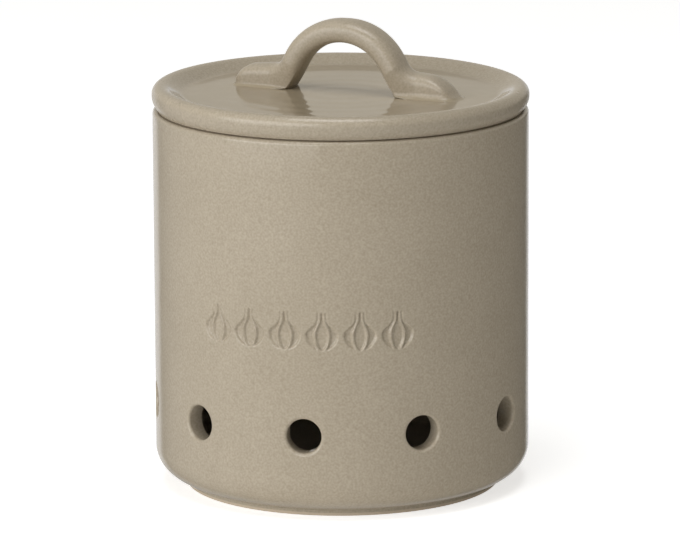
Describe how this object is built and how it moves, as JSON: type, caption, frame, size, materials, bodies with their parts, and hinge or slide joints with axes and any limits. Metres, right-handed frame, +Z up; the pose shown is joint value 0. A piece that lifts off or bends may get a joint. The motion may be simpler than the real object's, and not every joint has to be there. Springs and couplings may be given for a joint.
{
  "type": "garlic keeper",
  "caption": "Round glazed stoneware garlic keeper with vent holes low in its wall and a lift-off dished lid with a strap handle.",
  "frame": {"origin": "on the table under the middle of the keeper", "axes": "+Z up, -Y out of the front vent, +X to the right seen from the front"},
  "size_m": [0.1204, 0.1204, 0.1499],
  "materials": {
    "jar_glaze": "satin speckled greige glaze",
    "lid_glaze": "glossy speckled greige glaze",
    "handle_glaze": "satin speckled greige glaze"
  },
  "bodies": {
    "jar": {"jar": "jar_glaze"},
    "lid": {"lid": "lid_glaze", "handle": "handle_glaze"}
  },
  "joints": [
    {"name": "lid_lift", "type": "slide", "parent": "jar", "child": "lid", "axis": [0, 0, 1], "range_m": [0, 0.12]}
  ]
}
